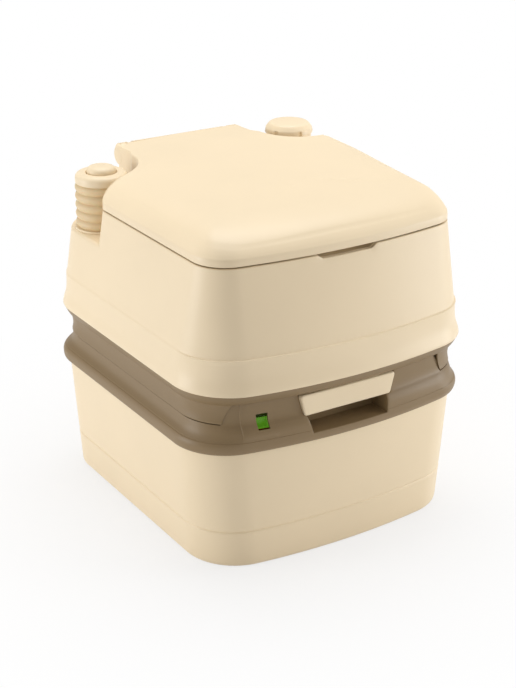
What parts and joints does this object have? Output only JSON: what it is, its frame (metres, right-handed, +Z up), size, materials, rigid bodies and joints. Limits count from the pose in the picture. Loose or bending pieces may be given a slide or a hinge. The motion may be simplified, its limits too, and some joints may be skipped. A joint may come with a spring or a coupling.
{
  "type": "portable toilet",
  "caption": "Portable flush toilet: a flush tank with bowl, seat, hinged lid and bellows pump, stacked on a waste tank with a slide valve and a swivelling pour-out spout.",
  "frame": {"origin": "middle of the footprint, on the ground", "axes": "+Z up, the front with the valve handle at -Y, +X to the object's right seen from the front"},
  "size_m": [0.383, 0.427, 0.4183],
  "materials": {
    "cream_plastic": "satin, fine moulded grain",
    "tan_plastic": "satin, fine moulded grain",
    "grey_plastic": "satin",
    "bellows_plastic": "satin, soft",
    "black_rubber": "matt",
    "clear_plastic": "clear",
    "green_plastic": "gloss",
    "red_plastic": "gloss",
    "white_foam": "matt",
    "steel": "brushed"
  },
  "bodies": {
    "tank": {"waste_tank": "cream_plastic", "tank_top": "tan_plastic", "handle_tray": "tan_plastic", "spout_tray": "tan_plastic", "mouth_ring": "tan_plastic", "indicator_lens": "clear_plastic", "float_pin": "steel", "valve_frame": "grey_plastic", "valve_seal": "black_rubber", "spout_seal": "black_rubber"},
    "valve": {"valve_blade": "grey_plastic", "valve_handle": "cream_plastic"},
    "level_float": {"float_arm": "grey_plastic", "float": "white_foam", "flag_green": "green_plastic", "flag_red": "red_plastic"},
    "spout": {"pour_spout": "tan_plastic"},
    "spout_cap": {"spout_cap": "tan_plastic", "spout_cap_gasket": "black_rubber"},
    "flush_tank": {"base_frame": "tan_plastic", "upper_housing": "cream_plastic", "seat_platform": "cream_plastic", "filler_neck": "cream_plastic", "bowl": "cream_plastic", "outlet_seal": "black_rubber", "flush_nozzle": "cream_plastic", "flush_hose": "grey_plastic", "pump_base": "cream_plastic", "intake_tube": "grey_plastic", "check_valve": "grey_plastic", "bellows": "bellows_plastic", "hinge_pins": "steel", "latch_pin": "steel"},
    "pump_top": {"pump_top_plate": "cream_plastic", "pump_button": "cream_plastic"},
    "filler_seal": {"filler_seal": "black_rubber"},
    "filler_cap": {"filler_cap": "cream_plastic"},
    "seat": {"seat": "cream_plastic", "seat_bumpers": "black_rubber"},
    "lid": {"lid": "cream_plastic"},
    "latch": {"latch": "cream_plastic"}
  },
  "joints": [
    {"name": "top_lift", "type": "slide", "parent": "tank", "child": "flush_tank", "axis": [0, 0, 1], "range_m": [0, 0.12]},
    {"name": "seat_hinge", "type": "hinge", "parent": "flush_tank", "child": "seat", "pos_m": [0, 0.19, 0.394], "axis": [-1, 0, 0], "range_deg": [0, 90]},
    {"name": "lid_hinge", "type": "hinge", "parent": "seat", "child": "lid", "pos_m": [0, 0.19, 0.394], "axis": [-1, 0, 0], "range_deg": [0, 94]},
    {"name": "valve_pull", "type": "slide", "parent": "tank", "child": "valve", "axis": [0, -1, 0], "range_m": [0, 0.115]},
    {"name": "pump_press", "type": "slide", "parent": "flush_tank", "child": "pump_top", "axis": [0, 0, -1], "range_m": [0, 0.03], "stiffness_N_per_m": 300, "springref_m": -0.002, "deforming": ["bellows"]},
    {"name": "filler_lift", "type": "slide", "parent": "flush_tank", "child": "filler_seal", "axis": [0, 0, 1], "range_m": [0, 0.012]},
    {"name": "filler_turn", "type": "hinge", "parent": "filler_seal", "child": "filler_cap", "pos_m": [0.136, 0.141, 0.41], "axis": [0, 0, 1], "range_deg": [0, 360]},
    {"name": "latch_swing", "type": "hinge", "parent": "flush_tank", "child": "latch", "pos_m": [-0.081, 0.2085, 0.217], "axis": [1, 0, 0], "range_deg": [0, 100]},
    {"name": "spout_swing", "type": "hinge", "parent": "tank", "child": "spout", "pos_m": [0.085, 0.184, 0.19025], "axis": [0, 0, -1], "range_deg": [0, 95]},
    {"name": "spout_cap_pull", "type": "slide", "parent": "spout", "child": "spout_cap", "axis": [-1, 0, 0], "range_m": [0, 0.025]},
    {"name": "level_rise", "type": "hinge", "parent": "tank", "child": "level_float", "pos_m": [-0.08651, -0.19656, 0.169], "axis": [0.1875, 0.9823, 0], "range_deg": [0, 28]}
  ],
  "couplings": [
    {"joint": "filler_lift", "follows": "filler_turn", "m_per_rad": 0.0019}
  ]
}
